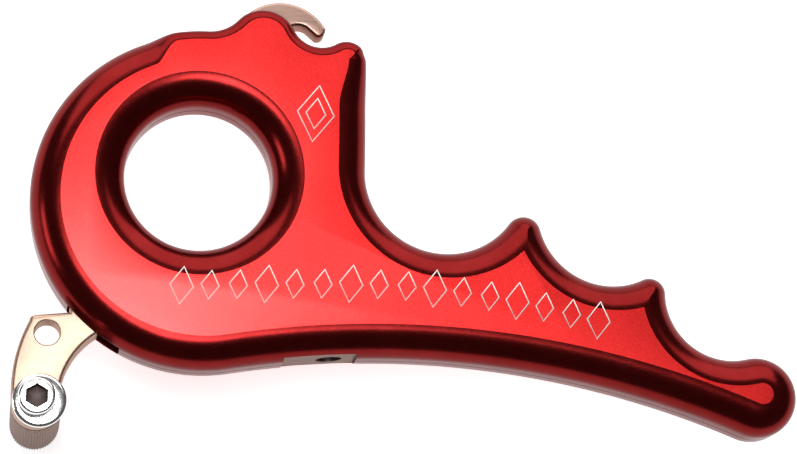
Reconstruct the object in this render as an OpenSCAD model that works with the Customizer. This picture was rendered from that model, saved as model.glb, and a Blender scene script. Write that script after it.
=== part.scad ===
// Hand-held resistance-activated release aid: two case halves on a parting plane at z = 0,
// a pivoting rope hook held by a sprung sear, and a thumb lever with a knurled barrel.
// Origin: centre of the index finger hole on the parting plane, +Z out of the front face.

/* [Case] */
// Thickness of the two case halves together
case_t = 12.7; // [10.6:0.1:15.3]
// Rounding of the case edge along the grip
edge_r = 4.5; // [3.7:0.05:4.8]
// Rounding of the case edge round the rope hook
hook_edge_r = 1.6; // [1.2:0.05:2]
// Diameter of the index finger hole at its throat
finger_d = 22.2; // [18.5:0.1:23.2]
// Radius of the loop round the finger hole
loop_r = 25.75; // [25:0.05:29]
// X of the loop's centre
loop_x = 0.7; // [0:0.05:1]
// Y of the loop's centre
loop_y = -3.5; // [-4:0.05:-3]
// X of the side that the rope hook's column stands along
side_x = 25.25; // [25:0.05:27]

/* [Grip] */
// X of the first tip, between the middle and ring fingers
tip1_x = 49.4; // [47:0.1:54]
// Y of the first tip
tip1_y = -7.1; // [-9:0.1:-6]
// Nose radius of the first tip
tip1_r = 2.7; // [2.2:0.05:3.2]
// Distance along X from the first tip to the second, across the ring finger
ring_run = 19.3; // [17:0.1:23.2]
// Drop from the first tip to the second
ring_drop = 8.8; // [8:0.1:10]
// Nose radius of the second tip
tip2_r = 2.5; // [2:0.05:3]
// Distance along X from the second tip to the tail end, across the little finger
little_run = 16.3; // [14:0.1:19.6]
// Drop from the second tip to the tail end
little_drop = 15.5; // [14.5:0.1:17]
// Radius of the tail end
tail_r = 6.1; // [5.5:0.05:7.3]
// Radius of the middle finger's hollow
middle_r = 12.2; // [11:0.1:14]
// Depth of the ring finger's hollow
ring_depth = 5; // [4:0.1:6]
// Depth of the little finger's hollow
little_depth = 5.5; // [4.5:0.1:6.5]
// Depth of the long hollow under the grip
belly_depth = 6.37; // [5.5:0.01:7.2]

/* [Rope hook] */
// Thickness of the hook and sear plates
action_t = 4; // [3:0.1:4.8]
// Radius of the hook's rounded back
hook_back_r = 7.9; // [7.5:0.05:8.2]
// Radius of the rope pocket
pocket_r = 2.4; // [2:0.05:2.6]
// Radius of the hook's tip
hook_tip_r = 1.1; // [0.9:0.05:1.3]
// Distance from the hook's pivot to its tail
hook_tail = 4.8; // [4.4:0.05:4.9]

/* [Thumb lever] */
// Thickness of the thumb lever
lever_t = 4.8; // [4:0.1:5.7]
// Diameter of the spare hole for the barrel's screw
spare_hole_d = 3.8; // [3.2:0.05:4.5]
// Diameter of the thumb barrel
barrel_d = 7.6; // [6.4:0.1:9.1]
// Length of the thumb barrel
barrel_l = 19; // [16:0.5:23]
// Diameter of the barrel screw's shank
barrel_screw_d = 3.8; // [3.2:0.05:4]
// Diameter of the barrel screw's head
barrel_head_d = 5.5; // [5:0.1:6.5]
// Height of the barrel screw's head
barrel_head_h = 4.2; // [3.5:0.1:5]
// Outer diameter of the washer under the head
washer_d = 8; // [7:0.1:9.5]
// Thickness of the washer
washer_t = 0.9; // [0.6:0.1:1.2]

/* [Pins and screws] */
// Diameter of the three pivot pins
pin_d = 3.2; // [2.6:0.05:3.8]
// Diameter of the case screws
case_screw_d = 2.8; // [2.3:0.05:3.3]
// Diameter of the case screws' heads
case_head_d = 4.6; // [3.9:0.1:5.5]
// Diameter of the dowel pins
dowel_d = 2.4; // [2:0.05:2.9]

/* [Trigger spring] */
// Outer diameter of the tension spring
spring_d = 4.2; // [3.5:0.05:4.4]
// Wire diameter of the tension spring
spring_wire = 0.7; // [0.5:0.05:0.8]
// Diameter of the tension screw
tension_screw_d = 3.8; // [3.2:0.05:4.4]
// Length of the adjuster block along the belly
block_l = 11; // [9:0.1:13]
// Width of the adjuster block across the case
block_w = 7.5; // [6.3:0.1:9]

/* [Fits] */
// Radial clearance of a plate on its pivot pin
pivot_gap = 0.05; // [0.02:0.01:0.1]
// Clearance of a plate beside each wall of its slot
side_gap = 0.05; // [0.03:0.01:0.2]
// Room round a moving plate inside the case
swing_gap = 0.4; // [0.3:0.05:0.5]

/* [Hidden] */
$fn = 48;

half_t = case_t / 2;
finger_r = finger_d / 2;
origin = [0, 0];

// Circles of the outline, anticlockwise: [centre, radius], where a hollow has a negative radius
side_r = 400;
loop = [[loop_x, loop_y], loop_r];
tip1 = [[tip1_x, tip1_y], tip1_r];
tip2 = [tip1[0] + [ring_run, -ring_drop], tip2_r];
tail = [tip2[0] + [little_run, -little_drop], tail_r];
side = [[side_x - side_r, 9], side_r];
bump_r = 3.15;
bump_y = 18.3;
bump_x = side[0].x + sqrt(pow(side_r - bump_r, 2) - pow(bump_y - side[0].y, 2));
bump = [[bump_x, bump_y], bump_r];
hump = [[9.3, 20.75], 5.15];
valley_r = 4.5;
saddle_r = 6;

// The point at distance d1 from c1 and d2 from c2, on the left of the way from c1 to c2
function meet(c1, d1, c2, d2) =
  let (v = c2 - c1, d = norm(v), a = (d1 * d1 - d2 * d2 + d * d) / (2 * d),
       h = sqrt(max(d1 * d1 - a * a, 0)))
  c1 + (a * v + h * [-v.y, v.x]) / d;
// A hollow of radius r that touches the discs p and q from outside
function hollow(p, q, r) = [meet(q[0], q[1] + r, p[0], p[1] + r), -r];
// The radius of a hollow that is deep below the tops of the discs p and q
function hollow_r(p, q, deep) =
  let (h = norm(q[0] - p[0]) / 2) (h * h + deep * deep) / (2 * deep) - (p[1] + q[1]) / 2;

outline = [
  loop, hollow(loop, tail, hollow_r(loop, tail, belly_depth)), tail,
  hollow(tail, tip2, hollow_r(tail, tip2, little_depth)), tip2,
  hollow(tip2, tip1, hollow_r(tip2, tip1, ring_depth)), tip1,
  hollow(tip1, side, middle_r), side, bump,
  hollow(bump, hump, valley_r), hump, hollow(hump, loop, saddle_r)
];
// Number of points on each circle of the outline
outline_n = [30, 18, 12, 9, 5, 9, 5, 12, 7, 6, 7, 8, 6];

// Where circle p hands over to circle q when both are set in by s
function joint(p, q, s) =
  let (a = abs(p[1] - s), b = abs(q[1] - s), v = q[0] - p[0],
       away = p[1] * q[1] < 0 || a > b ? 1 : -1)
  p[0] + v / norm(v) * a * away;
function at(i) = outline[(i + len(outline)) % len(outline)];
// Whether an inset of s uses up circle i: the bump's own rounding is too small for that
function gone(i, s) = at(i)[1] > 0 && at(i)[1] <= s && at(i) != bump;
// Where the hollows on either side of tip i cross once the inset s has used the tip up
function crease(i, s) = meet(at(i - 1)[0], s - at(i - 1)[1], at(i + 1)[0], s - at(i + 1)[1]);
function start(i, s) = gone(i, s) ? crease(i, s) : gone(i - 1, s) ? crease(i - 1, s) : joint(at(i - 1), at(i), s);
function bearing(c, p) = atan2(p.y - c.y, p.x - c.x);
function dir(a) = [cos(a), sin(a)];
// The points of circle i at inset s
function points_of(i, s) =
  let (c = at(i)[0], r = at(i)[1], n = outline_n[i], p = start(i, s), q = start(i + 1, s),
       a = bearing(c, p), b = bearing(c, q), turn = r > 0 ? (b - a + 720) % 360 : -((a - b + 720) % 360))
  [for (k = [0 : n - 1]) gone(i, s) || k == 0 ? p : c + abs(r - s) * dir(a + turn * k / n)];
function outline_at(s) = [for (i = [0 : len(outline) - 1]) each points_of(i, s)];
flush_edge = outline_at(0);
// The way inwards from each outline point
inwards = [for (i = [0 : len(outline) - 1]) each
  let (c = at(i)[0], way = at(i)[1] > 0 ? 1 : -1) [for (p = points_of(i, 0)) way * (c - p) / norm(c - p)]];

// Share of the grip's edge rounding at an outline point: none round the hook, all along the grip
function smooth(t) = let (u = min(max(t, 0), 1)) u * u * (3 - 2 * u);
function grip_share(p) =
  p.y < 8 ? 1 :
  p.x > 20 ? 0.45 * smooth((20.6 - p.y) / 1.2) + 0.55 * smooth((19 - p.y) / 8) :
  p.x < 0 ? smooth((-3.5 - p.x) / 5.5) : 0;
// One ring of the case skin at angle a up its rounding, as 3-D points
function skin_ring(a) =
  let (grip = outline_at(edge_r * (1 - cos(a))))
  [for (i = [0 : len(flush_edge) - 1])
    let (g = grip_share(flush_edge[i]), r = g * edge_r + (1 - g) * hook_edge_r,
         p = g == 1 ? grip[i] : flush_edge[i] + r * (1 - cos(a)) * inwards[i])
    [p.x, p.y, half_t - r * (1 - sin(a))]];

// Points on an arc from angle a to angle b
function arc(c, r, a, b, n) = [for (k = [0 : n]) c + r * dir(a + (b - a) * k / n)];

// Pivots and the parts round them
hook_pivot = [10.8, 19.6];
hook_back = [12.3, 20.3];
hook_tip = [18, 24.1];
pocket = [14.9, 22.3];
hook_tail_angle = -70;
hook_tail_r = 1.5;
hook_tail_at = hook_pivot + hook_tail * dir(hook_tail_angle);
hook_reach = 7.6;
sear_pivot = [18.6, 0.6];
sear_tip_r = 1.2;
sear_tip = hook_tail_at + [hook_tail_r + sear_tip_r + 0.07, -0.15];
sear_hub_r = 3;
sear_foot_r = 1.3;
column_x = 20;
sear_foot = [column_x + 0.3, sear_pivot.y - 2.8];
sear_swing = 40 / 3;
stop_pin_d = 2;
stop_pin = [13.45, 8.6];
lever_pivot = [-15.5, -12.5];
lever_hub_r = 3.2;
lever_swing = 6;
arm_r = 17.8;
arm_w = 3.6;
tongue = [16.3, -9.6];
tongue_r = 1.1;
peg = [-23.2, -34.3];
peg_boss_r = 3.7;
spare_hole = [-21.9, -24.1];

// The coil springs round the pins of the hook and the lever
hook_coil_r = pin_d / 2 + 0.45;
lever_coil_r = pin_d / 2 + 1.1;

// The spring column: heights along Y
plunger_top = sear_foot.y - sear_foot_r - 0.08;
flange_r = 3.3;
flange_t = 0.8;
seat_top = -19.5;
seat_t = 1.1;
seat_r = spring_d / 2 + 0.1;
column_r = seat_r + 0.1;
block_x = 13;
block_top = -22;
block_sink = 0.5;
screw_l = 5.6;
belly = at(1);
function belly_y(x) = belly[0].y + sqrt(pow(belly[1], 2) - pow(x - belly[0].x, 2));

pin_l = case_t - 2;
case_screws_at = [[-17.8, 3], [-1, 18.4], [27.5, -17], tip1[0] + [-5.4, -11.4], tip2[0] + [-6.7, -6.6]];
case_head_h = 2.6;
case_screw_l = 9;
dowels_at = [[-11.5, 15.2], tail[0] + [-7.5, 2.1]];
dowel_l = 6;

red = [0.86, 0.12, 0.12];
steel = [0.74, 0.7, 0.67];
chrome = [0.85, 0.85, 0.86];

// The bare front half of the case, before its holes: a skin of rings that runs past the parting
// plane and the face, and is cut off flat at both
module case_blank() {
  past = 0.03;
  levels = concat(
    [[for (p = flush_edge) [p.x, p.y, -1]]],
    [for (a = [0 : 18 : 72]) skin_ring(a)],
    [[for (p = skin_ring(90)) p + [0, 0, past]]]);
  n = len(flush_edge);
  top = len(levels) - 1;
  difference() {
    polyhedron(
      points = [for (l = levels) each l],
      faces = concat(
        [[for (i = [0 : n - 1]) i]],
        [[for (i = [0 : n - 1]) top * n + n - 1 - i]],
        [for (l = [0 : top - 1], i = [0 : n - 1])
          [l * n + i, (l + 1) * n + i, (l + 1) * n + (i + 1) % n, l * n + (i + 1) % n]]));
    for (z = [-3, half_t]) translate([-60, -60, z]) cube([220, 120, 3]);
  }
}

// The rounded finger hole, cut from one half
module finger_bell() {
  rise = half_t - edge_r;
  lip = [for (a = [0 : 10 : 80]) [finger_r + edge_r * (1 - cos(a)), rise + edge_r * sin(a)]];
  rotate_extrude($fn = 96)
    polygon(concat([[0, -1], [finger_r, -1]], lip, [[finger_r + edge_r, half_t + 0.02], [0, half_t + 1]]));
}

module disc(c, r, low, high) {
  translate([c.x, c.y, low]) cylinder(r = r, h = high - low);
}

module plate(points, t) {
  translate([0, 0, -t / 2]) linear_extrude(t) polygon(points);
}

module link(p, pr, q, qr, t) {
  translate([0, 0, -t / 2]) linear_extrude(t)
    hull() {
      translate(p) circle(pr, $fn = 32);
      translate(q) circle(qr, $fn = 32);
    }
}

// The room that the hook and the sear swing in
module action_room() {
  t = action_t + 2 * side_gap;
  plate(arc(hook_pivot, hook_reach + swing_gap / 2, 55, 250, 24), t);
  disc(hook_pivot, hook_tail + hook_tail_r + swing_gap, -t / 2, t / 2);
  sear_out = sear_pivot + norm(sear_tip - sear_pivot) * dir(bearing(sear_pivot, sear_tip) - sear_swing);
  link(sear_pivot, sear_hub_r + swing_gap, sear_tip, sear_tip_r + swing_gap, t);
  link(sear_pivot, sear_hub_r + swing_gap, sear_out, sear_tip_r + swing_gap, t);
  link(sear_tip, sear_tip_r + swing_gap, sear_out, sear_tip_r + swing_gap, t);
  link(sear_pivot, sear_hub_r, sear_foot - [0.3, 0.6], sear_foot_r + swing_gap, t);
}

// The room that the thumb lever swings in, with its slot through the lower left edge
module lever_room() {
  t = lever_t + 2 * side_gap;
  inner = arm_r - arm_w / 2 - 2.6;
  outer = arm_r + arm_w / 2 + swing_gap;
  plate(concat(arc(origin, outer, -146, -14, 40), arc(origin, inner, -14, -146, 40)), t);
  tongue_out = lever_pivot + norm(tongue - lever_pivot) * dir(bearing(lever_pivot, tongue) + lever_swing);
  link(tongue, tongue_r + swing_gap, tongue_out, tongue_r + swing_gap, t);
  disc(lever_pivot, lever_hub_r + swing_gap, -t / 2, t / 2);
  plate([[-18.8, -12.8], [-12.2, -12.8], [-11.3, -24], [-11.3, -32], [-26, -32], [-26, -21.35], [-19.1, -20.75]], t);
}

// The spring column down to the adjuster block
module column_room() {
  translate([column_x, 0, 0]) rotate([90, 0, 0]) {
    translate([0, 0, -plunger_top - swing_gap / 2]) cylinder(r = flange_r + 0.05, h = 3);
    translate([0, 0, -plunger_top]) cylinder(r = column_r, h = plunger_top - block_top + 1);
  }
}

module block_room() {
  translate([block_x, block_top - 12, -block_w / 2]) cube([block_l, 12, block_w]);
}

module pin_holes() {
  for (p = [hook_pivot, sear_pivot, lever_pivot]) disc(p, pin_d / 2, -pin_l / 2, pin_l / 2);
  disc(stop_pin, stop_pin_d / 2, -pin_l / 2, pin_l / 2);
  for (p = dowels_at) disc(p, dowel_d / 2, -dowel_l / 2, dowel_l / 2);
}

module screw_holes() {
  for (p = case_screws_at) {
    disc(p, case_screw_d / 2, -half_t - 1, case_screw_l + case_head_h - half_t);
    disc(p, case_head_d / 2 + 0.1, -half_t - 1, case_head_h - half_t);
  }
}

module case_cuts() {
  action_room();
  lever_room();
  column_room();
  block_room();
  pin_holes();
  screw_holes();
  // Pockets for the two coil springs round the pins
  disc(hook_pivot, hook_coil_r + 0.4, -action_t / 2 - 2.5, 0);
  disc(lever_pivot, lever_coil_r + 0.6, 0, lever_t / 2 + 2.6);
}

module front_case() {
  color(red) difference() {
    case_blank();
    finger_bell();
    case_cuts();
  }
}

module rear_case() {
  color(red) difference() {
    mirror([0, 0, 1]) case_blank();
    mirror([0, 0, 1]) finger_bell();
    case_cuts();
  }
}

module pin(c, d, l) {
  color(steel) disc(c, d / 2, -l / 2, l / 2);
}

module hook_pin() { pin(hook_pivot, pin_d, pin_l); }
module sear_pin() { pin(sear_pivot, pin_d, pin_l); }
module lever_pin() { pin(lever_pivot, pin_d, pin_l); }
module sear_stop_pin() { pin(stop_pin, stop_pin_d, pin_l); }

module hook() {
  color(steel) difference() {
    plate(concat(
      arc(hook_tip, hook_tip_r, -110, 25, 8),
      arc(hook_back, hook_back_r, 32, 156, 20),
      arc(hook_pivot, 4.4, 190, 245, 6),
      arc(hook_tail_at, hook_tail_r, 215, 360, 10),
      arc(pocket, pocket_r, 232, 60, 14)), action_t);
    disc(hook_pivot, pin_d / 2 + pivot_gap, -action_t, action_t);
  }
}

module sear() {
  color(steel) difference() {
    union() {
      link(sear_pivot, sear_hub_r, sear_tip, sear_tip_r, action_t);
      link(sear_pivot, sear_hub_r - 0.6, sear_foot, sear_foot_r, action_t);
    }
    disc(sear_pivot, pin_d / 2 + pivot_gap, -action_t, action_t);
  }
}

// A round wire wound in a helix round +Z, with its middle line from height 0 to height h
module coil(r, wire, h, turns) {
  step = 20;
  sides = 6;
  count = floor(turns * 360 / step);
  rings = [for (i = [0 : count], k = [0 : sides - 1])
    let (a = i * step, out = r + wire / 2 * cos(k * 360 / sides))
    [out * cos(a), out * sin(a), h * i / count + wire / 2 * sin(k * 360 / sides)]];
  polyhedron(points = rings, faces = concat(
    [[for (k = [0 : sides - 1]) k]],
    [[for (k = [sides - 1 : -1 : 0]) count * sides + k]],
    [for (i = [0 : count - 1], k = [0 : sides - 1])
      let (a = i * sides + k, b = i * sides + (k + 1) % sides) each [[a, a + sides, b + sides], [a, b + sides, b]]]));
}

module hook_spring() {
  color(steel) translate([hook_pivot.x, hook_pivot.y, -action_t / 2 - 2]) coil(hook_coil_r, 0.45, 1.6, 3);
}

module lever_spring() {
  color(steel) translate([lever_pivot.x, lever_pivot.y, lever_t / 2 + 0.45]) coil(lever_coil_r, 0.6, 1.7, 2.6);
}

module tension_spring() {
  top = plunger_top - flange_t;
  color(steel) translate([column_x, top - spring_wire / 2 - 0.01, 0]) rotate([90, 0, 0])
    coil((spring_d - spring_wire) / 2, spring_wire, top - seat_top - spring_wire - 0.02, 9);
}

module spring_plunger() {
  color(steel) translate([column_x, plunger_top, 0]) rotate([90, 0, 0]) {
    cylinder(r = flange_r, h = flange_t);
    cylinder(r = spring_d / 2 - spring_wire - 0.3, h = 8);
  }
}

module spring_seat() {
  color(steel) translate([column_x, seat_top, 0]) rotate([90, 0, 0]) {
    cylinder(r = seat_r, h = seat_t);
    translate([0, 0, -2]) cylinder(r = spring_d / 2 - spring_wire - 0.3, h = 2.5);
  }
}

module tension_screw() {
  color(steel) translate([column_x, seat_top - seat_t, 0]) rotate([90, 0, 0]) difference() {
    cylinder(d = tension_screw_d, h = screw_l);
    translate([0, 0, screw_l - 2.5]) cylinder(d = 2.3, h = 3, $fn = 6);
  }
}

module adjuster_block() {
  right = block_x + block_l;
  color(steel) difference() {
    plate([[block_x, belly_y(block_x) + block_sink], [right, belly_y(right) + block_sink],
           [right, block_top], [block_x, block_top]], block_w);
    translate([column_x, 0, 0]) rotate([90, 0, 0]) cylinder(d = tension_screw_d + 0.1, h = 40);
  }
}

module thumb_lever() {
  blade = concat(
    [[-12.5, -12.8], [-12.8, -20]],
    arc([-7.9, -34.1], 12, 124, 170, 14),
    arc(peg, peg_boss_r, -8, -166, 16),
    arc([-4.1, -32.5], 22.9, 184, 152.5, 14),
    arc([-23.5, -22.6], 1.2, 150, 92, 5),
    [[-18.7, -20.95], [-18.5, -12.8]]);
  color(steel) difference() {
    union() {
      plate(blade, lever_t);
      plate(concat(arc(origin, arm_r + arm_w / 2, -141, -36, 32), arc(origin, arm_r - arm_w / 2, -36, -141, 32)),
            lever_t);
      link(arm_r * dir(-37), arm_w / 2, tongue, tongue_r, lever_t);
      disc(lever_pivot, lever_hub_r, -lever_t / 2, lever_t / 2);
    }
    disc(lever_pivot, pin_d / 2 + pivot_gap, -lever_t, lever_t);
    disc(peg, barrel_screw_d / 2 + 0.1, -lever_t, lever_t);
    disc(spare_hole, spare_hole_d / 2, -lever_t, lever_t);
  }
}

module barrel_washer() {
  hole_r = barrel_screw_d / 2 + 0.45;
  color(chrome) difference() {
    disc(peg + [0.42, 0], washer_d / 2, lever_t / 2, lever_t / 2 + washer_t);
    disc(peg + [0.42, 0], hole_r, 0, lever_t);
  }
}

module barrel_screw() {
  seat = lever_t / 2 + washer_t;
  color(chrome) difference() {
    union() {
      disc(peg, barrel_head_d / 2, seat, seat + barrel_head_h);
      disc(peg, barrel_screw_d / 2, -lever_t / 2 - 8, seat + 0.5);
    }
    translate([peg.x, peg.y, seat + barrel_head_h - 2.4]) cylinder(d = 3.45, h = 3, $fn = 6);
  }
}

module thumb_barrel() {
  color(steel) difference() {
    translate([peg.x, peg.y, -lever_t / 2]) rotate([180, 0, 0]) rotate_extrude()
      polygon([[0, 0], [barrel_d / 2, 0], [barrel_d / 2, barrel_l - 0.5], [barrel_d / 2 - 0.5, barrel_l],
               [0, barrel_l]]);
    disc(peg, barrel_screw_d / 2, -lever_t / 2 - 9, 0);
  }
}

module case_screws() {
  color(steel) for (p = case_screws_at) difference() {
    union() {
      disc(p, case_head_d / 2, -half_t + 0.1, case_head_h - half_t);
      disc(p, case_screw_d / 2, case_head_h - half_t - 0.5, case_screw_l + case_head_h - half_t - 0.3);
    }
    translate([p.x, p.y, -half_t - 1]) cylinder(d = 2.3, h = 2.4, $fn = 6);
  }
}

module dowel_pins() {
  color(steel) for (p = dowels_at) disc(p, dowel_d / 2, -dowel_l / 2, dowel_l / 2);
}

front_case();
rear_case();
hook();
hook_pin();
hook_spring();
sear();
sear_pin();
sear_stop_pin();
spring_plunger();
tension_spring();
spring_seat();
tension_screw();
adjuster_block();
thumb_lever();
lever_pin();
lever_spring();
barrel_screw();
barrel_washer();
thumb_barrel();
case_screws();
dowel_pins();
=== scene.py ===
import math

import bmesh
import bpy
import numpy as np
from mathutils import Matrix, Vector
from mathutils.geometry import tessellate_polygon


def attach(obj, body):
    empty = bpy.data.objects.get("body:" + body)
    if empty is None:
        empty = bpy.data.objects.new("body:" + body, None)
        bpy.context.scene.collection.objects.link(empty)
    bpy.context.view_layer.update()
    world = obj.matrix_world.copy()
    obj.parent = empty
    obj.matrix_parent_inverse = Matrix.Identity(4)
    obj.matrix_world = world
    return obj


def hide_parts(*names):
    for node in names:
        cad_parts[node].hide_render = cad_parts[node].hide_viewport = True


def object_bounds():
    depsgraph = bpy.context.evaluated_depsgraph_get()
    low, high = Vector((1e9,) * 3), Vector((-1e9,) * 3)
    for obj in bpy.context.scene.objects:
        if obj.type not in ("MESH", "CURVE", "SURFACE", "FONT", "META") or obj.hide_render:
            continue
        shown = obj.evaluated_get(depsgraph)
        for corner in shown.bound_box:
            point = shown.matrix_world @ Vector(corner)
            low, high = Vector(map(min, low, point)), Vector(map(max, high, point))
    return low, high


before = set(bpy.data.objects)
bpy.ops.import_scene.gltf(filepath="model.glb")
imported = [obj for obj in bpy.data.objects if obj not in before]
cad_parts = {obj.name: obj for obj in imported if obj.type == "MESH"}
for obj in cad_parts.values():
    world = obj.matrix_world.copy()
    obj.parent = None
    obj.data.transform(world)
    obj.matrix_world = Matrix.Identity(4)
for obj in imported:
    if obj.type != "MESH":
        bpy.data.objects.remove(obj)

# The looks of a hand-held release aid: a red anodised case in two halves, a steel rope hook,
# a thumb lever with a knurled barrel, and bright screws. Sizes are in millimetres until a mesh is made.

MM = 0.001
cad_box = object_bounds()

# Case
CASE_T = 12.7
HALF_T = CASE_T / 2
EDGE_R = 4.5
HOOK_EDGE_R = 1.6
FINGER_R = 11.1
PARTING_CHAMFER = 0.11
LOOP = ((0.7, -3.5), 25.75)
TAIL = ((85.0, -31.4), 6.1)
TIP_1 = ((49.4, -7.1), 2.7)
TIP_2 = ((68.7, -15.9), 2.5)
SIDE = ((25.25 - 400.0, 9.0), 400.0)
BUMP_R, BUMP_Y = 3.15, 18.3
HUMP = ((9.3, 20.75), 5.15)
BELLY_R, MIDDLE_R, VALLEY_R, SADDLE_R = 142.0, 12.2, 4.5, 6.0
RING_DEPTH, LITTLE_DEPTH = 5.0, 5.5

# Moving plates
ACTION_T = 4.0
LEVER_T = 4.8
HOOK_PIVOT = (10.8, 19.6)
SEAR_PIVOT = (18.6, 0.6)
LEVER_PIVOT = (-15.5, -12.5)
SEAR_TIP, SEAR_R, SEAR_TIP_R = (15.215, 14.94), 3.4, 1.6
TONGUE, TONGUE_R = (16.3, -9.6), 1.1
HOOK_SWING, LEVER_SWING = 40, 6
PIN_HOLE_R = 1.65
ARM_R, ARM_W = 17.8, 3.6
PEG = (-23.2, -34.3)
SPARE_HOLE = (-21.9, -24.1)
BARREL_R, BARREL_L = 3.8, 19.0
KNURL_TEETH, KNURL_DEEP = 54, 0.17
ENGRAVED_LINE_R, ENGRAVED_SUNK = 0.19, 0.12

# Rooms inside the case
COLUMN_X, COLUMN_R = 20, 2.4
FLANGE_R = 3.35
COLUMN_TOP, COLUMN_LOW = -3.58, -22.5
STOP_PIN = (13.45, 8.6)
STOP_PIN_R = 1.02
ROOM_GAP = 0.05
LEVER_COIL_R, LEVER_COIL_DEEP = 3.3, 5.0
HOOK_COIL_R, HOOK_COIL_DEEP = 2.45, 4.5
BLOCK = ((13, -34), (24, -34), (24, -22), (13, -22))
BLOCK_SIDE = 3.75
SCREW_POCKET_R, SCREW_POCKET_DEEP, SCREW_SUNK = 2.4, 2.6, 0.12
CASE_SCREWS = ((-17.8, 3), (-1, 18.4), (27.5, -17), (44, -18.5), (62, -22.5))


# ---- outline: a chain of discs and hollows -------------------------------------------------

def meet(c1, d1, c2, d2):
    """The point at distance d1 from c1 and d2 from c2, on the left of the way from c1 to c2."""
    dx, dy = c2[0] - c1[0], c2[1] - c1[1]
    d = math.hypot(dx, dy)
    a = (d1 * d1 - d2 * d2 + d * d) / (2 * d)
    h = math.sqrt(max(d1 * d1 - a * a, 0))
    return (c1[0] + (a * dx - h * dy) / d, c1[1] + (a * dy + h * dx) / d)


def hollow(p, q, r):
    """A hollow of radius r that touches the discs p and q from outside."""
    return (meet(q[0], q[1] + r, p[0], p[1] + r), -r)


def hollow_radius(p, q, deep):
    h = math.dist(p[0], q[0]) / 2
    return (h * h + deep * deep) / (2 * deep) - (p[1] + q[1]) / 2


BUMP = ((SIDE[0][0] + math.sqrt((SIDE[1] - BUMP_R) ** 2 - (BUMP_Y - SIDE[0][1]) ** 2), BUMP_Y), BUMP_R)
OUTLINE = [
    LOOP, hollow(LOOP, TAIL, BELLY_R), TAIL,
    hollow(TAIL, TIP_2, hollow_radius(TAIL, TIP_2, LITTLE_DEPTH)), TIP_2,
    hollow(TIP_2, TIP_1, hollow_radius(TIP_2, TIP_1, RING_DEPTH)), TIP_1,
    hollow(TIP_1, SIDE, MIDDLE_R), SIDE, BUMP,
    hollow(BUMP, HUMP, VALLEY_R), HUMP, hollow(HUMP, LOOP, SADDLE_R),
]
POINT_STEP = 0.42


def joint(p, q, s):
    """Where circle p hands over to circle q when both are set in by s."""
    a, b = abs(p[1] - s), abs(q[1] - s)
    away = 1 if p[1] * q[1] < 0 or a > b else -1
    d = math.dist(p[0], q[0])
    return tuple(p[0][k] + (q[0][k] - p[0][k]) / d * a * away for k in (0, 1))


def circle(i):
    return OUTLINE[i % len(OUTLINE)]


def gone(i, s):
    """Whether an inset of s uses up circle i: the bump's own rounding is too small for that."""
    return 0 < circle(i)[1] <= s and circle(i) != BUMP


def crease(i, s):
    """Where the hollows on either side of tip i cross once the inset has used the tip up."""
    p, q = circle(i - 1), circle(i + 1)
    return meet(p[0], s - p[1], q[0], s - q[1])


def start(i, s):
    if gone(i, s):
        return crease(i, s)
    if gone(i - 1, s):
        return crease(i - 1, s)
    return joint(circle(i - 1), circle(i), s)


def sweep(i, s):
    """Start angle and turn of circle i at inset s."""
    (cx, cy), r = circle(i)
    p, q = start(i, s), start(i + 1, s)
    a = math.atan2(p[1] - cy, p[0] - cx)
    b = math.atan2(q[1] - cy, q[0] - cx)
    turn = (b - a) % math.tau if r > 0 else -((a - b) % math.tau)
    return a, turn


COUNTS = [max(5, math.ceil(abs(sweep(i, 0)[1] * circle(i)[1]) / POINT_STEP)) for i in range(len(OUTLINE))]


def outline_at(s):
    points = []
    for i, n in enumerate(COUNTS):
        (cx, cy), r = circle(i)
        p = start(i, s)
        if gone(i, s):
            points += [p] * n
            continue
        a, turn = sweep(i, s)
        for k in range(n):
            t = a + turn * k / n
            points.append((cx + abs(r - s) * math.cos(t), cy + abs(r - s) * math.sin(t)))
    return np.array(points)


FLUSH = outline_at(0)
WAYS_IN = np.concatenate([
    (1 if circle(i)[1] > 0 else -1) * (np.array(circle(i)[0]) - part) / abs(circle(i)[1])
    for i, part in enumerate(np.split(FLUSH, np.cumsum(COUNTS)[:-1]))])


def smooth(t):
    u = np.clip(t, 0, 1)
    return u * u * (3 - 2 * u)


def grip_share(p):
    """Share of the grip's large rounding at each outline point: none round the hook, all along the grip."""
    x, y = p[:, 0], p[:, 1]
    right = 0.45 * smooth((20.6 - y) / 1.0) + 0.55 * smooth((19 - y) / 8)
    left = smooth((-3.9 - x) / 4.6)
    return np.where(y < 8, 1.0, np.where(x > 20, right, np.where(x < 0, left, 0.0)))


SHARE = grip_share(FLUSH)
LOCAL_R = SHARE * EDGE_R + (1 - SHARE) * HOOK_EDGE_R


def skin_ring(angle):
    """The outer skin at an angle up its rounding, as 3-D points."""
    a = math.radians(angle)
    grip = outline_at(EDGE_R * (1 - math.cos(a)))
    near = FLUSH + (LOCAL_R * (1 - math.cos(a)))[:, None] * WAYS_IN
    p = np.where((SHARE == 1)[:, None], grip, near)
    return np.column_stack([p, HALF_T - LOCAL_R * (1 - math.sin(a))])


# ---- meshes ---------------------------------------------------------------------------------

def new_object(name, verts, faces, material=None):
    mesh = bpy.data.meshes.new(name)
    mesh.from_pydata([tuple(float(c) * MM for c in v) for v in verts], [], faces)
    mesh.update()
    obj = bpy.data.objects.new(name, mesh)
    bpy.context.scene.collection.objects.link(obj)
    if material:
        mesh.materials.append(material)
    return obj


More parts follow.
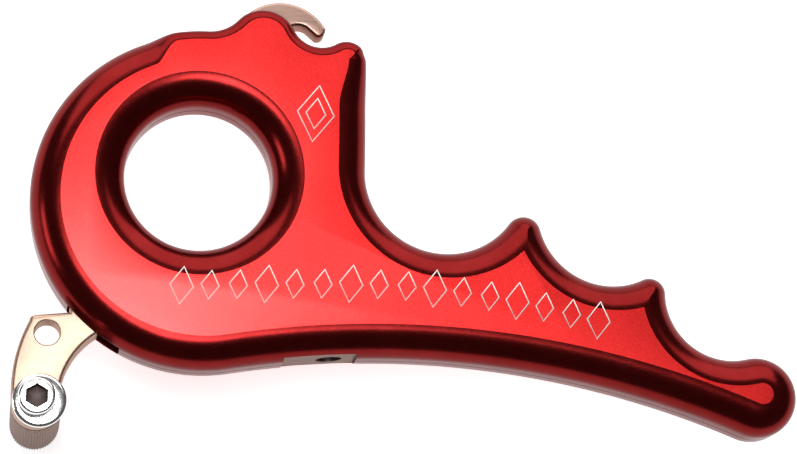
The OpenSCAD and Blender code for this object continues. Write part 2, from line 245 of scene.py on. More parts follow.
def tidy(obj, sharp=28.0):
    """Merges doubles, turns the faces outwards and shades all but the sharp edges smooth."""
    bm = bmesh.new()
    bm.from_mesh(obj.data)
    bmesh.ops.remove_doubles(bm, verts=bm.verts, dist=1e-7)
    bmesh.ops.dissolve_degenerate(bm, edges=bm.edges, dist=1e-8)
    bmesh.ops.recalc_face_normals(bm, faces=bm.faces)
    bm.to_mesh(obj.data)
    bm.free()
    obj.data.polygons.foreach_set("use_smooth", [True] * len(obj.data.polygons))
    obj.data.set_sharp_from_angle(angle=math.radians(sharp))
    obj.data.update()
    return obj


def fill(loops):
    """Triangles that fill a flat outline with holes; indices run through the loops in turn."""
    return tessellate_polygon([[Vector((float(p[0]), float(p[1]), 0)) for p in loop] for loop in loops])


def bands(rings):
    """Verts and quads for closed rings of equal length, one after the other."""
    n = len(rings[0])
    faces = [(k * n + i, k * n + (i + 1) % n, (k + 1) * n + (i + 1) % n, (k + 1) * n + i)
             for k in range(len(rings) - 1) for i in range(n)]
    return [tuple(p) for ring in rings for p in ring], faces


def ring_of(centre, r, z, n=96):
    return [(centre[0] + r * math.cos(math.tau * k / n), centre[1] + r * math.sin(math.tau * k / n), z)
            for k in range(n)]


def shell(name, outer, holes):
    """A closed solid between stacks of rings, from the top ring to the bottom ring: outer, then each hole."""
    verts, faces = [], []
    stacks = [outer, *holes]
    tops, bottoms = [], []
    for stack in stacks:
        v, f = bands(stack)
        base = len(verts)
        verts += v
        faces += [tuple(base + i for i in q) for q in f]
        n = len(stack[0])
        tops.append([base + i for i in range(n)])
        bottoms.append([base + (len(stack) - 1) * n + i for i in range(n)])
    for loops in (tops, bottoms):
        flat = [i for loop in loops for i in loop]
        for tri in fill([[verts[i] for i in loop] for loop in loops]):
            faces.append(tuple(flat[i] for i in tri))
    return new_object(name, verts, faces)


def arc(c, r, a, b, n):
    """Points on an arc from angle a to angle b, in degrees."""
    return [(c[0] + r * math.cos(math.radians(a + (b - a) * k / n)),
             c[1] + r * math.sin(math.radians(a + (b - a) * k / n))) for k in range(n + 1)]


def inset(points, s):
    """A closed anticlockwise outline set in by s along its corners' middles."""
    p = np.array(points)
    before, after = p - np.roll(p, 1, 0), np.roll(p, -1, 0) - p
    way = before / np.linalg.norm(before, axis=1)[:, None] + after / np.linalg.norm(after, axis=1)[:, None]
    way /= np.linalg.norm(way, axis=1)[:, None]
    return p + s * np.column_stack([-way[:, 1], way[:, 0]])


def thin_out(points, least=0.05):
    """Drops points that lie nearly on the one before."""
    kept = [points[0]]
    for p in points[1:]:
        if math.dist(p, kept[-1]) > least:
            kept.append(p)
    if math.dist(kept[0], kept[-1]) <= least:
        kept.pop()
    return kept


def plate(name, outline, holes, thickness, edge, steps=6):
    """A flat plate with rounded edges; holes are (centre, radius, chamfer)."""
    outline = thin_out(outline)
    half = thickness / 2
    rings = []
    for sign, order in ((1, range(steps, -1, -1)), (-1, range(0, steps + 1))):
        for k in order:
            a = math.pi / 2 * k / steps
            p = inset(outline, edge * (1 - math.cos(a)))
            rings.append([(x, y, sign * (half - edge * (1 - math.sin(a)))) for x, y in p])
    stacks = []
    for centre, r, chamfer in holes:
        stacks.append([ring_of(centre, r + chamfer, half), ring_of(centre, r, half - chamfer),
                       ring_of(centre, r, chamfer - half), ring_of(centre, r + chamfer, -half)])
    return tidy(shell(name, rings, stacks))


def lathe(name, profile, centre=(0, 0), n=96, material=None):
    """A solid turned round +Z from (radius, z) pairs, from its top to its bottom; radius 0 closes it."""
    verts, faces = [], []
    rings = []
    for r, z in profile:
        if r == 0:
            rings.append([len(verts)])
            verts.append((centre[0], centre[1], z))
        else:
            rings.append(list(range(len(verts), len(verts) + n)))
            verts += ring_of(centre, r, z, n)
    for a, b in zip(rings, rings[1:]):
        for i in range(n):
            j = (i + 1) % n
            if len(a) == 1:
                faces.append((a[0], b[i], b[j]))
            elif len(b) == 1:
                faces.append((a[i], b[0], a[j]))
            else:
                faces.append((a[i], b[i], b[j], a[j]))
    return tidy(new_object(name, verts, faces, material))


def prism(points, low, high):
    """A plain cutter: an outline raised from low to high."""
    n = len(points)
    verts = [(x, y, low) for x, y in points] + [(x, y, high) for x, y in points]
    faces = [tuple(range(n - 1, -1, -1)), tuple(range(n, 2 * n))]
    faces += [(i, (i + 1) % n, n + (i + 1) % n, n + i) for i in range(n)]
    return new_object("cutter", verts, faces)


def disc(centre, r, low, high, n=64):
    return prism([p[:2] for p in ring_of(centre, r, 0, n)], low, high)


def column(x, r, low, high, n=48):
    """A round cutter that lies along Y in the middle plane."""
    cutter = disc((x, 0), r, -high, -low, n)
    cutter.data.transform(Matrix(((1, 0, 0, 0), (0, 0, -1, 0), (0, 1, 0, 0), (0, 0, 0, 1))))
    return cutter


def link(p, pr, q, qr, low, high):
    """A cutter round two discs and what lies between them."""
    d = math.dist(p, q)
    way = math.degrees(math.atan2(q[1] - p[1], q[0] - p[0]))
    lean = math.degrees(math.acos((pr - qr) / d))
    far, near = arc(q, qr, way - lean, way + lean, 20), arc(p, pr, way + lean, way + 360 - lean, 28)
    return prism(far + near, low, high)


def cut(obj, cutters):
    """Cuts each cutter from the object and deletes the cutters."""
    for cutter in cutters:
        modifier = obj.modifiers.new("cut", "BOOLEAN")
        modifier.operation = "DIFFERENCE"
        modifier.solver = "EXACT"
        modifier.object = cutter
    plain = bpy.data.meshes.new_from_object(obj.evaluated_get(bpy.context.evaluated_depsgraph_get()))
    obj.modifiers.clear()
    obj.data = plain
    for cutter in cutters:
        bpy.data.objects.remove(cutter)
    return obj


# ---- materials ------------------------------------------------------------------------------

class Sock:
    """A socket that can be added, multiplied and so on, which adds Math nodes to its tree."""

    def __init__(self, tree, socket):
        self.tree, self.socket = tree, socket

    def maths(self, operation, a, b=0.0):
        return self.tree.node("ShaderNodeMath", {"operation": operation}, {0: a, 1: b})

    def __add__(self, other):
        return self.maths("ADD", self, other)

    def __sub__(self, other):
        return self.maths("SUBTRACT", self, other)

    def __rsub__(self, other):
        return self.maths("SUBTRACT", other, self)

    def __mul__(self, other):
        return self.maths("MULTIPLY", self, other)

    def __truediv__(self, other):
        return self.maths("DIVIDE", self, other)

    __radd__ = __add__
    __rmul__ = __mul__


class Finish:
    """One material, made of nodes."""

    def __init__(self, name):
        self.material = bpy.data.materials.new(name)
        self.material.use_nodes = True
        self.nodes = self.material.node_tree.nodes
        self.links = self.material.node_tree.links
        self.surface = self.nodes["Principled BSDF"]

    def node(self, kind, settings=None, sockets=None, out=0):
        """Any node, with its settings and its sockets' values or links."""
        made = self.nodes.new(kind)
        for name, value in (settings or {}).items():
            setattr(made, name, value)
        for name, value in (sockets or {}).items():
            self.feed(made.inputs[name], value)
        return Sock(self, made.outputs[out])

    def feed(self, target, value):
        """Links a socket, or sets a plain value."""
        if isinstance(value, Sock):
            self.links.new(value.socket, target)
        elif value is not None:
            target.default_value = value

    def place(self):
        return self.node("ShaderNodeTexCoord", out="Object")

    def stretched(self, across, along, up, turn=0.0):
        """Object coordinates scaled in each direction, for grain that runs one way."""
        return self.node("ShaderNodeMapping", None,
                         {"Vector": self.place(), "Scale": (across, along, up), "Rotation": (0, 0, turn)})

    def noise(self, vector, scale, detail=2.0, rough=0.5):
        return self.node("ShaderNodeTexNoise", None,
                         {"Vector": vector, "Scale": scale, "Detail": detail, "Roughness": rough})

    def spread(self, value, low, high, to_low, to_high):
        return self.node("ShaderNodeMapRange", None, {
            "Value": value, "From Min": low, "From Max": high, "To Min": to_low, "To Max": to_high})

    def mix(self, share, a, b):
        return self.node("ShaderNodeMix", {"data_type": "RGBA"}, {"Factor": share, 6: a, 7: b}, out=2)

    def bump(self, height, strength, distance):
        return self.node("ShaderNodeBump", None, {
            "Height": height, "Strength": strength, "Distance": distance})

    def dress(self, **sockets):
        """Feeds the surface's sockets, named with underscores, and gives the finished material."""
        for name, value in sockets.items():
            self.feed(self.surface.inputs[name.replace("_", " ")], value)
        return self.material


def colour(r, g, b):
    return (r, g, b, 1.0)


def anodised_face():
    """Red anodised aluminium, fine satin, on the flat faces."""
    f = Finish("anodised_face")
    grain = f.noise(f.place(), 3600, 3, 0.65)
    cloud = f.noise(f.place(), 110, 3, 0.6)
    shade = f.mix(f.spread(cloud, 0.3, 0.7, 0, 1), colour(0.74, 0.006, 0.006), colour(0.82, 0.014, 0.012))
    shade = f.mix(f.spread(grain, 0.4, 0.7, 0, 1) * 0.5, shade, colour(0.92, 0.05, 0.045))
    rough = f.spread(grain, 0.3, 0.7, 0.34, 0.42)
    f.surface.inputs["Coat Weight"].default_value = 0.9
    f.surface.inputs["Coat Roughness"].default_value = 0.23
    return f.dress(Base_Color=shade, Metallic=0.95, Roughness=rough, Normal=f.bump(grain, 0.35, 0.00001))


def anodised_edge_painted_shade():
    """The same red on the rounded edges, glossier from the form cutter, with its colour painted much darker
    as painted shade for the dark surroundings that the edges reflect.
    """
    f = Finish("anodised_edge_painted_shade")
    cloud = f.noise(f.place(), 160, 3, 0.6)
    grain = f.noise(f.place(), 2600, 2, 0.5)
    # Painted shade: this base red is about five times darker than the face's red, standing in for the dark
    # reflections on the rounded edges.
    shade = f.mix(f.spread(cloud, 0.3, 0.7, 0, 1), colour(0.15, 0.007, 0.007), colour(0.19, 0.011, 0.011))
    rough = f.spread(grain, 0.3, 0.7, 0.19, 0.25)
    f.surface.inputs["Specular Tint"].default_value = colour(0.7, 0.7, 0.7)
    return f.dress(Base_Color=shade, Metallic=0.97, Roughness=rough, Normal=f.bump(grain, 0.12, 0.00001))


def brushed(name, light, dark, low, high, turn=0.0, metallic=1.0, strength=0.2):
    """Ground steel with a fine grain that runs one way."""
    f = Finish(name)
    lines = f.noise(f.stretched(260, 5200, 2600, turn), 1, 3, 0.6)
    cloud = f.noise(f.place(), 420, 4, 0.65)
    shade = f.mix(f.spread(lines, 0.3, 0.7, 0, 1) * 0.5 + cloud * 0.4, colour(*dark), colour(*light))
    rough = f.spread(lines * 0.6 + cloud * 0.4, 0.3, 0.7, low, high)
    f.surface.inputs["Specular Tint"].default_value = colour(0.6, 0.55, 0.52)
    return f.dress(Base_Color=shade, Metallic=metallic, Roughness=rough,
                   Normal=f.bump(lines, strength, 0.00001))


def polished(name, tint):
    """Plated or bright metal with a faint haze."""
    f = Finish(name)
    haze = f.noise(f.place(), 900, 3, 0.6)
    shade = f.mix(f.spread(haze, 0.3, 0.7, 0, 1), colour(*(0.94 * c for c in tint)), colour(*tint))
    return f.dress(Base_Color=shade, Metallic=1.0, Roughness=f.spread(haze, 0.3, 0.7, 0.13, 0.2))


def floor_finish():
    """A pale matt sheet that glows a little, so that it stays near white."""
    f = Finish("pale_floor")
    haze = f.noise(f.place(), 12, 2, 0.5)
    white = f.mix(haze, colour(0.93, 0.93, 0.93), colour(0.96, 0.96, 0.96))
    f.surface.inputs["Emission Strength"].default_value = 0.66
    return f.dress(Base_Color=white, Roughness=0.9, Emission_Color=white)


FACE = anodised_face()
# EDGE is the darker copy of the face red, painted with shade for the rounded edges.
EDGE = anodised_edge_painted_shade()
LEVER_STEEL = brushed("lever_steel", (0.56, 0.39, 0.3), (0.46, 0.31, 0.235), 0.3, 0.42, 1.2)
HOOK_STEEL = brushed("hook_steel", (0.5, 0.32, 0.26), (0.4, 0.255, 0.205), 0.28, 0.4, 0.6)
BARREL_STEEL = brushed("barrel_steel", (0.3, 0.21, 0.185), (0.2, 0.14, 0.125), 0.3, 0.42)
BLOCK_STEEL = brushed("block_steel", (0.27, 0.19, 0.175), (0.2, 0.14, 0.13), 0.32, 0.42)
PIN_STEEL = brushed("pin_steel", (0.7, 0.7, 0.71), (0.6, 0.6, 0.61), 0.25, 0.35)
BLACK_STEEL = brushed("black_steel", (0.05, 0.05, 0.055), (0.03, 0.03, 0.032), 0.35, 0.5)
# A dark rough finish for the key recess of the bright screw: painted shade inside the socket.
SOCKET_SHADE = brushed("screw_socket_painted_shade", (0.22, 0.17, 0.155), (0.15, 0.115, 0.105), 0.5, 0.65)
SPRING_STEEL = polished("spring_steel", (0.6, 0.6, 0.62))
BRIGHT = polished("bright_screw", (0.95, 0.94, 0.93))
CHROME = polished("bright_washer", (0.9, 0.89, 0.88))
SILVER_LINE = brushed("engraved_line", (0.82, 0.76, 0.72), (0.7, 0.64, 0.6), 0.45, 0.6)
FLOOR = floor_finish()

# ---- case -----------------------------------------------------------------------------------

def case_skin():
    """One half's outer skin, from the face down to the parting plane, before its holes."""
    rings = [skin_ring(a) for a in (90, 84, 78, 72, 66, 60, 54, 48, 42, 36, 30, 24, 18, 12, 6, 0)]
    rings.append(np.column_stack([FLUSH, np.full(len(FLUSH), PARTING_CHAMFER)]))
    rings.append(np.column_stack([outline_at(PARTING_CHAMFER), np.zeros(len(FLUSH))]))
    verts, faces = bands([[tuple(p) for p in ring] for ring in rings])
    n = len(FLUSH)
    faces.append(tuple(range(n)))
    faces.append(tuple(range(len(verts) - 1, len(verts) - 1 - n, -1)))
    return verts, faces


def bell_cutter():
    """The finger hole with its rounded lip, as a solid to cut away."""
    profile = [(0, HALF_T + 1), (FINGER_R + EDGE_R, HALF_T + 1)]
    for a in range(90, -1, -5):
        t = math.radians(a)
        profile.append((FINGER_R + EDGE_R * (1 - math.cos(t)), HALF_T - EDGE_R * (1 - math.sin(t))))
    profile += [(FINGER_R, PARTING_CHAMFER), (FINGER_R + PARTING_CHAMFER, 0),
                (FINGER_R + PARTING_CHAMFER, -1), (0, -1)]
    return lathe("bell_cutter", profile, n=192)


def turned(point, centre, degrees):
    """A point turned about a centre."""
    a = math.radians(degrees)
    dx, dy = point[0] - centre[0], point[1] - centre[1]
    return (centre[0] + dx * math.cos(a) - dy * math.sin(a), centre[1] + dx * math.sin(a) + dy * math.cos(a))


def rooms():
    """Cutters for the rooms of the moving plates and the steel block, as deep as in the frame."""
    a, b = ACTION_T / 2 + ROOM_GAP, LEVER_T / 2 + ROOM_GAP
    out = turned(SEAR_TIP, SEAR_PIVOT, -HOOK_SWING / 3)
    tongue_out = turned(TONGUE, LEVER_PIVOT, LEVER_SWING)
    band = arc((0, 0), ARM_R + 2.2, -146, -14, 60) + arc((0, 0), ARM_R - 4.4, -14, -146, 60)
    slot = [(-18.8, -12.8), (-19.1, -20.75), (-26, -21.35), (-26, -32),
            (-11.3, -32), (-11.3, -24), (-12.2, -12.8)]
    return [
        prism(arc(HOOK_PIVOT, 7.8, 55, 250, 48), -a, a), disc(HOOK_PIVOT, 6.7, -a, a),
        link(SEAR_PIVOT, SEAR_R, SEAR_TIP, SEAR_TIP_R, -a, a),
        link(SEAR_PIVOT, SEAR_R - 0.02, out, SEAR_TIP_R, -a, a),
        prism(band, -b, b), disc(LEVER_PIVOT, 3.6, -b, b), prism(slot, -b, b),
        link(TONGUE, TONGUE_R + 0.4, tongue_out, TONGUE_R + 0.38, -b, b),
        prism(BLOCK, -BLOCK_SIDE, BLOCK_SIDE),
        *[disc(p, PIN_HOLE_R, -6, 5) for p in (HOOK_PIVOT, SEAR_PIVOT, LEVER_PIVOT)],
        disc(STOP_PIN, STOP_PIN_R, -6, 5),
        column(COLUMN_X, COLUMN_R, COLUMN_LOW, COLUMN_TOP),
        column(COLUMN_X, FLANGE_R, COLUMN_TOP - 2.8, COLUMN_TOP + 0.2),
    ]


def case_half(name, body, node, extra=()):
    """A case half with its finger hole and rooms cut; the rear one is cut as a front and turned over."""
    half = new_object(name, *case_skin())
    half.data.materials.append(EDGE)
    half.data.materials.append(FACE)
    tidy(half, 14)
    cut(half, [bell_cutter(), *rooms(), *extra])
    if node == "rear_case":
        half.data.transform(Matrix.Diagonal((1, 1, -1, 1)))
        half.data.flip_normals()
    # Flat faces at the face height take the face red; every other face, rounded edges and cut walls alike,
    # takes the darker red with painted shade.
    half.data.polygons.foreach_set(
        "material_index", [1 if abs(p.normal.z) > 0.9999 and abs(abs(p.center.z) - HALF_T * MM) < 1e-6 else 0
                           for p in half.data.polygons])
    half.data.polygons.foreach_set("use_smooth", [p.material_index == 0 for p in half.data.polygons])
    half.data.set_sharp_from_angle(angle=math.radians(14))
    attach(half, body)
    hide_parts(node)
    return half


def rear_pockets():
    """Counterbores and the hook spring's pocket, cut before the rear half is turned over."""
    screws = [disc(p, SCREW_POCKET_R, HALF_T - SCREW_POCKET_DEEP, HALF_T + 1, 48) for p in CASE_SCREWS]
    return [*screws, disc(HOOK_PIVOT, HOOK_COIL_R, 0, HOOK_COIL_DEEP)]


lever_coil_pocket = disc(LEVER_PIVOT, LEVER_COIL_R, 0, LEVER_COIL_DEEP)
case_half("front_shell", "case", "front_case", [lever_coil_pocket])
case_half("rear_shell", "case", "rear_case", rear_pockets())

# ---- hook and lever -------------------------------------------------------------------------

hook_outline = (
    arc((18, 24.1), 1.1, -110, 25, 16) + arc((12.3, 20.3), 7.9, 32, 156, 60)
    + arc(HOOK_PIVOT, 4.4, 190, 245, 12) + arc((12.442, 15.09), 1.5, 215, 360, 20)
    + arc((14.9, 22.3), 2.4, 232, 60, 36))
hook = plate("rope_hook", hook_outline, [(HOOK_PIVOT, PIN_HOLE_R, 0.1)], ACTION_T, 0.45)
hook.data.materials.append(HOOK_STEEL)
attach(hook, "hook")
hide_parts("hook")

lever_outline = (
    arc(TONGUE, TONGUE_R, -40, 120, 14)
    + arc((0, 0), ARM_R - ARM_W / 2, -38, -133, 70)
    + arc(LEVER_PIVOT, 3.2, 8, 176, 26)
    + [(-18.7, -20.95)]
    + arc((-23.5, -22.6), 1.2, 92, 150, 8)
    + arc((-4.1, -32.5), 22.9, 152.5, 184, 30)
    + arc(PEG, 3.7, 194, 352, 30)
    + arc((-7.9, -34.1), 12, 170, 124, 28)
    + [(-12.8, -20)]
    + arc((0, 0), ARM_R + ARM_W / 2, -120, -38, 60))
lever = plate("lever_plate", lever_outline,
              [(LEVER_PIVOT, PIN_HOLE_R, 0.1), (PEG, 2.0, 0.1), (SPARE_HOLE, 1.9, 0.14)], LEVER_T, 0.6)
lever.data.materials.append(LEVER_STEEL)
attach(lever, "lever")
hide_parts("thumb_lever")


def socket_screw(name, centre, top, head, key, shank, material, n=96):
    """A socket head screw. Head, key and shank are (radius, height), (size across flats, depth) and
    (radius, length); the head's top is at the given height."""
    (head_r, head_h), (across, deep), (shank_r, length) = head, key, shank
    edge, tip, cone = 0.45, 0.4, 0.7

    def hexagon(z, grow=1.0):
        points = []
        for k in range(n):
            t = math.tau * k / n
            side = (t + math.pi / 6) % (math.pi / 3) - math.pi / 6
            r = across / 2 / math.cos(side) * grow
            points.append((centre[0] + r * math.cos(t), centre[1] + r * math.sin(t), z))
        return points

    low, end = top - head_h, top - head_h - length
    rings = [hexagon(top - deep), hexagon(top - 0.12), hexagon(top, 1.07)]
    for a in range(0, 91, 15):
        t = math.radians(a)
        rings.append(ring_of(centre, head_r - edge * (1 - math.sin(t)), top - edge * (1 - math.cos(t)), n))
    rings += [ring_of(centre, r, z, n) for r, z in (
        (head_r, low + 0.1), (head_r - 0.1, low), (shank_r, low), (shank_r, end + tip), (shank_r - tip, end))]
    verts, faces = bands(rings)
    floor_point, end_point = len(verts), len(verts) + 1
    verts += [(*centre, top - deep - cone), (*centre, end)]
    last = (len(rings) - 1) * n
    faces += [(floor_point, (i + 1) % n, i) for i in range(n)]
    faces += [(end_point, last + i, last + (i + 1) % n) for i in range(n)]
    made = tidy(new_object(name, verts, faces, material))
    # The faces inside the key recess take the dark finish as painted shade in the socket.
    made.data.materials.append(SOCKET_SHADE)
    key_floor = Vector((*centre, top - deep)) * MM
    for face in made.data.polygons:
        away = (face.center - key_floor) / MM
        if -0.8 < away.z < deep - 0.1 and away.xy.length < across * 0.6:
            face.material_index = 1
    return made


CAP_HEAD_H, WASHER_T = 4.2, 0.9
screw = socket_screw("barrel_cap_screw", PEG, LEVER_T / 2 + WASHER_T + CAP_HEAD_H,
                     head=(2.75, CAP_HEAD_H), key=(3.05, 2.2), shank=(1.88, 10.5), material=BRIGHT)
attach(screw, "lever")
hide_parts("barrel_screw")

WASHER_AT = (PEG[0] + 0.42, PEG[1])
WASHER_PROFILE = ((2.35, 0), (2.35, 0.8), (2.45, 0.9), (3.5, 0.9), (3.75, 0.83), (3.93, 0.66),
                  (4.0, 0.45), (4.0, 0.15), (3.85, 0), (2.35, 0))
washer = lathe("bright_ring", [(r, LEVER_T / 2 + z) for r, z in WASHER_PROFILE], WASHER_AT, material=CHROME)
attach(washer, "lever")
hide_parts("barrel_washer")


# ---- node trees for what repeats --------------------------------------------------------------

class Tree:
    """A geometry node tree with named inputs."""

    def __init__(self, name, inputs):
        self.group = bpy.data.node_groups.new(name, "GeometryNodeTree")
        face = self.group.interface
        face.new_socket("Geometry", in_out="INPUT", socket_type="NodeSocketGeometry")
        for label, kind in inputs.items():
            face.new_socket(label, in_out="INPUT", socket_type=kind)
        face.new_socket("Geometry", in_out="OUTPUT", socket_type="NodeSocketGeometry")
        self.given = self.group.nodes.new("NodeGroupInput")
        self.result = self.group.nodes.new("NodeGroupOutput")

    def add(self, kind, settings=None, sockets=None):
        """Any node, with its settings and its sockets' values or links."""
        made = self.group.nodes.new(kind)
        for name, value in (settings or {}).items():
            setattr(made, name, value)
        for name, value in (sockets or {}).items():
            if isinstance(value, bpy.types.NodeSocket):
                self.group.links.new(value, made.inputs[name])
            else:
                made.inputs[name].default_value = value
        return made

    def finish(self, geometry, material):
        """Ends the tree: copies made real, and one material on them all."""
        real = self.add("GeometryNodeRealizeInstances", None, {"Geometry": geometry})
        dressed = self.add("GeometryNodeSetMaterial", None, {
            "Geometry": real.outputs[0], "Material": material})
        self.group.links.new(dressed.outputs[0], self.result.inputs[0])

    def run(self, name, base, values):
        """Runs the tree on a base object, which goes, and leaves a plain mesh."""
        modifier = base.modifiers.new("made", "NODES")
        modifier.node_group = self.group
        for item in self.group.interface.items_tree:
            if item.in_out == "INPUT" and item.name in values:
                modifier[item.identifier] = values[item.name]
        bpy.context.view_layer.update()
        mesh = bpy.data.meshes.new_from_object(base.evaluated_get(bpy.context.evaluated_depsgraph_get()))
        bpy.data.objects.remove(base)
        mesh.name = name
        obj = bpy.data.objects.new(name, mesh)
        bpy.context.scene.collection.objects.link(obj)
        return obj


def knurl():
    """Straight knurling: a star with many small teeth, drawn along the barrel."""
    t = Tree("straight_knurl", {"Teeth": "NodeSocketInt", "Outer radius": "NodeSocketFloat",
                                "Root radius": "NodeSocketFloat", "Top": "NodeSocketVector",
                                "Bottom": "NodeSocketVector"})
    g = t.given.outputs
    star = t.add("GeometryNodeCurveStar", None, {"Points": g["Teeth"], "Inner Radius": g["Root radius"],
                                                 "Outer Radius": g["Outer radius"]})
    line = t.add("GeometryNodeCurvePrimitiveLine", None, {"Start": g["Bottom"], "End": g["Top"]})
    solid = t.add("GeometryNodeCurveToMesh", None, {
        "Curve": line.outputs[0], "Profile Curve": star.outputs["Curve"], "Fill Caps": True})
    t.finish(solid.outputs[0], BARREL_STEEL)
    top, bottom = -LEVER_T / 2 - 1.3, -LEVER_T / 2 - BARREL_L + 0.45
    made = t.run("knurling", new_object("knurl_base", [(0, 0, 0)], []), {
        "Teeth": KNURL_TEETH, "Outer radius": BARREL_R * MM, "Root radius": (BARREL_R - KNURL_DEEP) * MM,
        "Top": (PEG[0] * MM, PEG[1] * MM, top * MM), "Bottom": (PEG[0] * MM, PEG[1] * MM, bottom * MM)})
    made.data.shade_flat()
    return made


BARREL_PROFILE = ((0, 0), (3.6, 0), (3.72, 0.12), (3.72, 1.15), (3.45, 1.4), (3.45, BARREL_L - 0.6),
                  (3.62, BARREL_L - 0.45), (3.2, BARREL_L), (2.6, BARREL_L), (1.2, BARREL_L - 0.25),
                  (0, BARREL_L - 0.25))
knurling = knurl()
barrel = lathe("barrel_core", [(r, -LEVER_T / 2 - z) for r, z in BARREL_PROFILE], PEG, 108, BARREL_STEEL)
for piece in (knurling, barrel):
    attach(piece, "lever")
    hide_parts("thumb_barrel")


def rear_screws():
    """The case screws: one head, set on every screw's place."""
    head = socket_screw("screw_pattern", (0, 0), 0, head=(2.3, 2.45), key=(2.0, 1.3), shank=(1.35, 8.6),
                        material=BLACK_STEEL, n=48)
    t = Tree("screws_on_points", {"Screw": "NodeSocketObject"})
    shape = t.add("GeometryNodeObjectInfo", None, {"Object": t.given.outputs["Screw"]})
    dots = t.add("GeometryNodeMeshToPoints", None, {"Mesh": t.given.outputs["Geometry"]})
    laid = t.add("GeometryNodeInstanceOnPoints", None, {
        "Points": dots.outputs[0], "Instance": shape.outputs["Geometry"], "Rotation": (math.pi, 0, 0)})
    t.finish(laid.outputs[0], BLACK_STEEL)
    places = new_object("screw_places", [(x, y, SCREW_SUNK - HALF_T) for x, y in CASE_SCREWS], [])
    made = t.run("rear_screws", places, {"Screw": head})
    bpy.data.objects.remove(head)
    return made


screws = rear_screws()
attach(screws, "case")
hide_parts("case_screws")


def ornament():
    """Fine engraved lozenges along the grip, where every third one is larger."""
    t = Tree("lozenge_row", {
        "Count": "NodeSocketInt", "Height": "NodeSocketFloat", "Width": "NodeSocketFloat",
        "Line": "NodeSocketFloat", "Grow": "NodeSocketFloat"})
    g = t.given.outputs
    path = t.add("GeometryNodeMeshToCurve", None, {"Mesh": g["Geometry"]})
    soft = t.add("GeometryNodeCurveSplineType", {"spline_type": "CATMULL_ROM"}, {"Curve": path.outputs[0]})
    dots = t.add("GeometryNodeCurveToPoints", {"mode": "COUNT"}, {
        "Curve": soft.outputs[0], "Count": g["Count"]})
    ring = t.add("GeometryNodeCurvePrimitiveCircle", None, {"Resolution": 4, "Radius": 0.5})
    size = t.add("ShaderNodeCombineXYZ", None, {"X": g["Width"], "Y": g["Height"], "Z": 1.0})
    loz = t.add("GeometryNodeTransform", None, {"Geometry": ring.outputs[0], "Scale": size.outputs[0]})
    index = t.add("GeometryNodeInputIndex")
    third = t.add("ShaderNodeMath", {"operation": "MODULO"}, {0: index.outputs[0], 1: 3.0})
    first = t.add("ShaderNodeMath", {"operation": "LESS_THAN"}, {0: third.outputs[0], 1: 0.5})
    grown = t.add("ShaderNodeMath", {"operation": "MULTIPLY_ADD"}, {
        0: first.outputs[0], 1: g["Grow"], 2: 1.0})
    laid = t.add("GeometryNodeInstanceOnPoints", None, {
        "Points": dots.outputs[0], "Instance": loz.outputs[0], "Rotation": (0, 0, -0.12),
        "Scale": grown.outputs[0]})
    real = t.add("GeometryNodeRealizeInstances", None, {"Geometry": laid.outputs[0]})
    nib = t.add("GeometryNodeCurvePrimitiveCircle", None, {"Resolution": 6, "Radius": g["Line"]})
    drawn = t.add("GeometryNodeCurveToMesh", None, {
        "Curve": real.outputs[0], "Profile Curve": nib.outputs[0]})
    t.finish(drawn.outputs[0], SILVER_LINE)
    return t


row = ornament()
grip_line = [(-2.5, -17.3), (14, -16.6), (30, -16.4), (46, -18.0), (60, -20.9)]
crest_at = [(17.2, 9.6), (17.2, 9.5)]


def engrave(name, points, count, height, width, grow):
    """Lozenges along a path on the front face, sunk in all but their tops."""
    path = new_object("path", [(x, y, HALF_T - ENGRAVED_SUNK) for x, y in points], [])
    path.data.edges.add(len(points) - 1)
    for k, edge in enumerate(path.data.edges):
        edge.vertices = (k, k + 1)
    made = row.run(name, path, {"Count": count, "Height": height * MM, "Width": width * MM,
                                "Line": ENGRAVED_LINE_R * MM, "Grow": grow})
    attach(made, "case")


engrave("engraved_row", grip_line, 16, 4.4, 2.7, 0.3)
engrave("crest_outer", crest_at, 1, 8.8, 5.6, 0)
engrave("crest_inner", crest_at, 1, 4.8, 3.0, 0)

# ---- nodes that stay as they are --------------------------------------------------------------

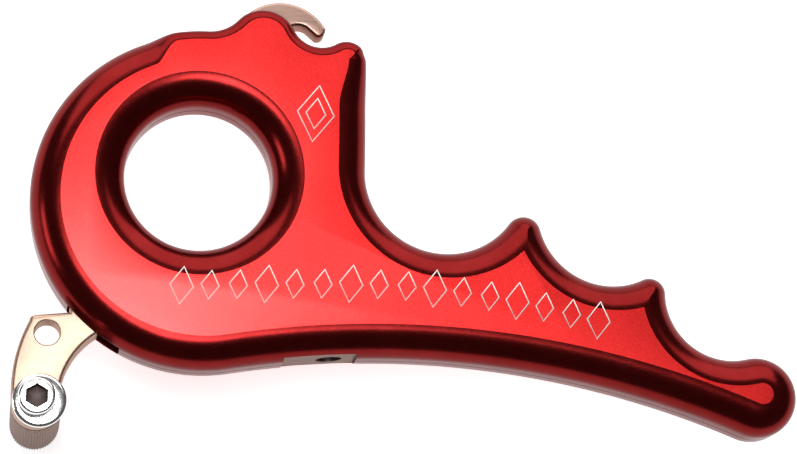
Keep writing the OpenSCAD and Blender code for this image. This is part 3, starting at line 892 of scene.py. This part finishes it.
KEPT = {
    "adjuster_block": BLOCK_STEEL, "tension_screw": BLACK_STEEL, "tension_spring": SPRING_STEEL,
    "hook_spring": SPRING_STEEL, "lever_spring": SPRING_STEEL, "sear": HOOK_STEEL, "hook_pin": PIN_STEEL,
    "sear_pin": PIN_STEEL, "lever_pin": PIN_STEEL, "sear_stop_pin": PIN_STEEL, "spring_plunger": PIN_STEEL,
    "spring_seat": PIN_STEEL, "dowel_pins": PIN_STEEL,
}
for node, material in KEPT.items():
    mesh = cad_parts[node].data
    mesh.materials.clear()
    mesh.materials.append(material)

# ---- floor, light and camera ------------------------------------------------------------------

MIDDLE = (0.033, -0.005, 0)
floor_z = cad_box[0].z - 0.02 * MM
bpy.ops.mesh.primitive_plane_add(size=6, location=(0.03, 0, floor_z))
floor = bpy.context.object
floor.name = "studio_floor"
floor.data.materials.append(FLOOR)


def soft_light(name, place, size, power):
    """A soft box that looks at the middle of the piece."""
    lamp = bpy.data.lights.new(name, "AREA")
    lamp.shape = "RECTANGLE"
    lamp.size, lamp.size_y = size
    lamp.energy = power
    obj = bpy.data.objects.new(name, lamp)
    obj.location = place
    obj.rotation_euler = (Vector(MIDDLE) - Vector(place)).to_track_quat("-Z", "Y").to_euler()
    bpy.context.scene.collection.objects.link(obj)


soft_light("top_box", (-0.02, -0.03, 0.6), (0.24, 0.18), 1.55)
soft_light("back_box", (0.05, 0.7, 0.45), (1.3, 0.9), 8.0)
soft_light("left_box", (-0.8, -0.05, 0.25), (0.3, 0.2), 0.8)

world = bpy.data.worlds.new("studio")
world.use_nodes = True
world.node_tree.nodes["Background"].inputs["Color"].default_value = (1, 1, 1, 1)
world.node_tree.nodes["Background"].inputs["Strength"].default_value = 0.1
bpy.context.scene.world = world
bpy.context.scene.view_settings.view_transform = "Standard"

camera = bpy.data.cameras.new("camera")
camera.lens = 131.0
camera.sensor_width = 36.0
camera.clip_start = 0.01
camera.clip_end = 20
eye = bpy.data.objects.new("camera", camera)
bpy.context.scene.collection.objects.link(eye)
right = Vector((0.9907, 0, 0.1359)).normalized()
up = Vector((-0.0303, 0.9748, 0.2211)).normalized()
back = right.cross(up).normalized()
up = back.cross(right)
eye.matrix_world = Matrix((
    (right.x, up.x, back.x, -27.7 * MM), (right.y, up.y, back.y, -104.2 * MM),
    (right.z, up.z, back.z, 424.9 * MM), (0, 0, 0, 1)))
bpy.context.scene.camera = eye
